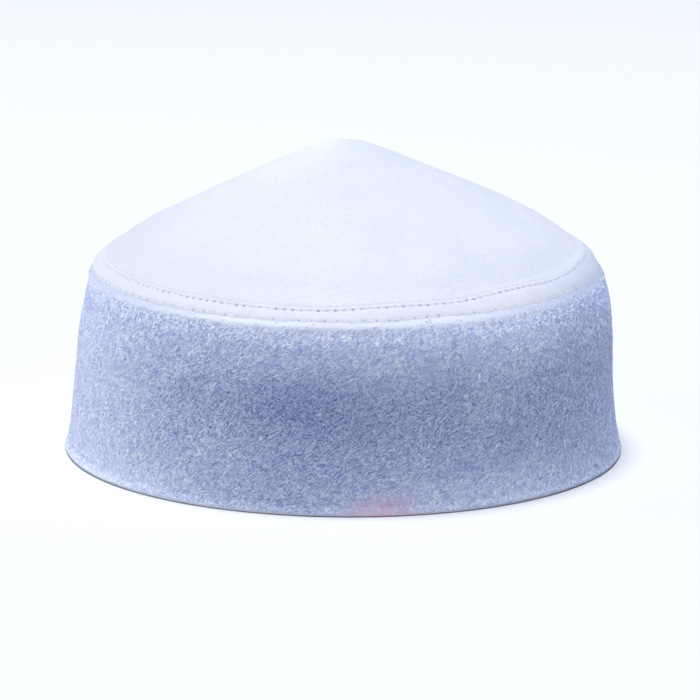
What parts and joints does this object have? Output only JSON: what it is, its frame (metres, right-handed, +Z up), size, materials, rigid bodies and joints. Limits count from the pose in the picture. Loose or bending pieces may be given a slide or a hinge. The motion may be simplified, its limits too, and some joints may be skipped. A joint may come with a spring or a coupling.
{
  "type": "kufi",
  "caption": "Round brimless cap with an upright wall of thick pale felt and a low cone crown of smooth cloth, joined by a stitched strip.",
  "frame": {"origin": "on the surface the hat rests on, under the middle of its rim", "axes": "+Z up through the crown, -Y towards the front, +X to the right as seen from the front"},
  "size_m": [0.1886, 0.1886, 0.1043],
  "materials": {
    "crown_cloth": "smooth matte, very fine grain",
    "strip_cloth": "smooth matte, topstitched along both edges",
    "felt": "thick fuzzy felt, matte"
  },
  "bodies": {
    "root": {"crown": "crown_cloth", "shoulder_strip": "strip_cloth", "band": "felt"}
  },
  "joints": []
}
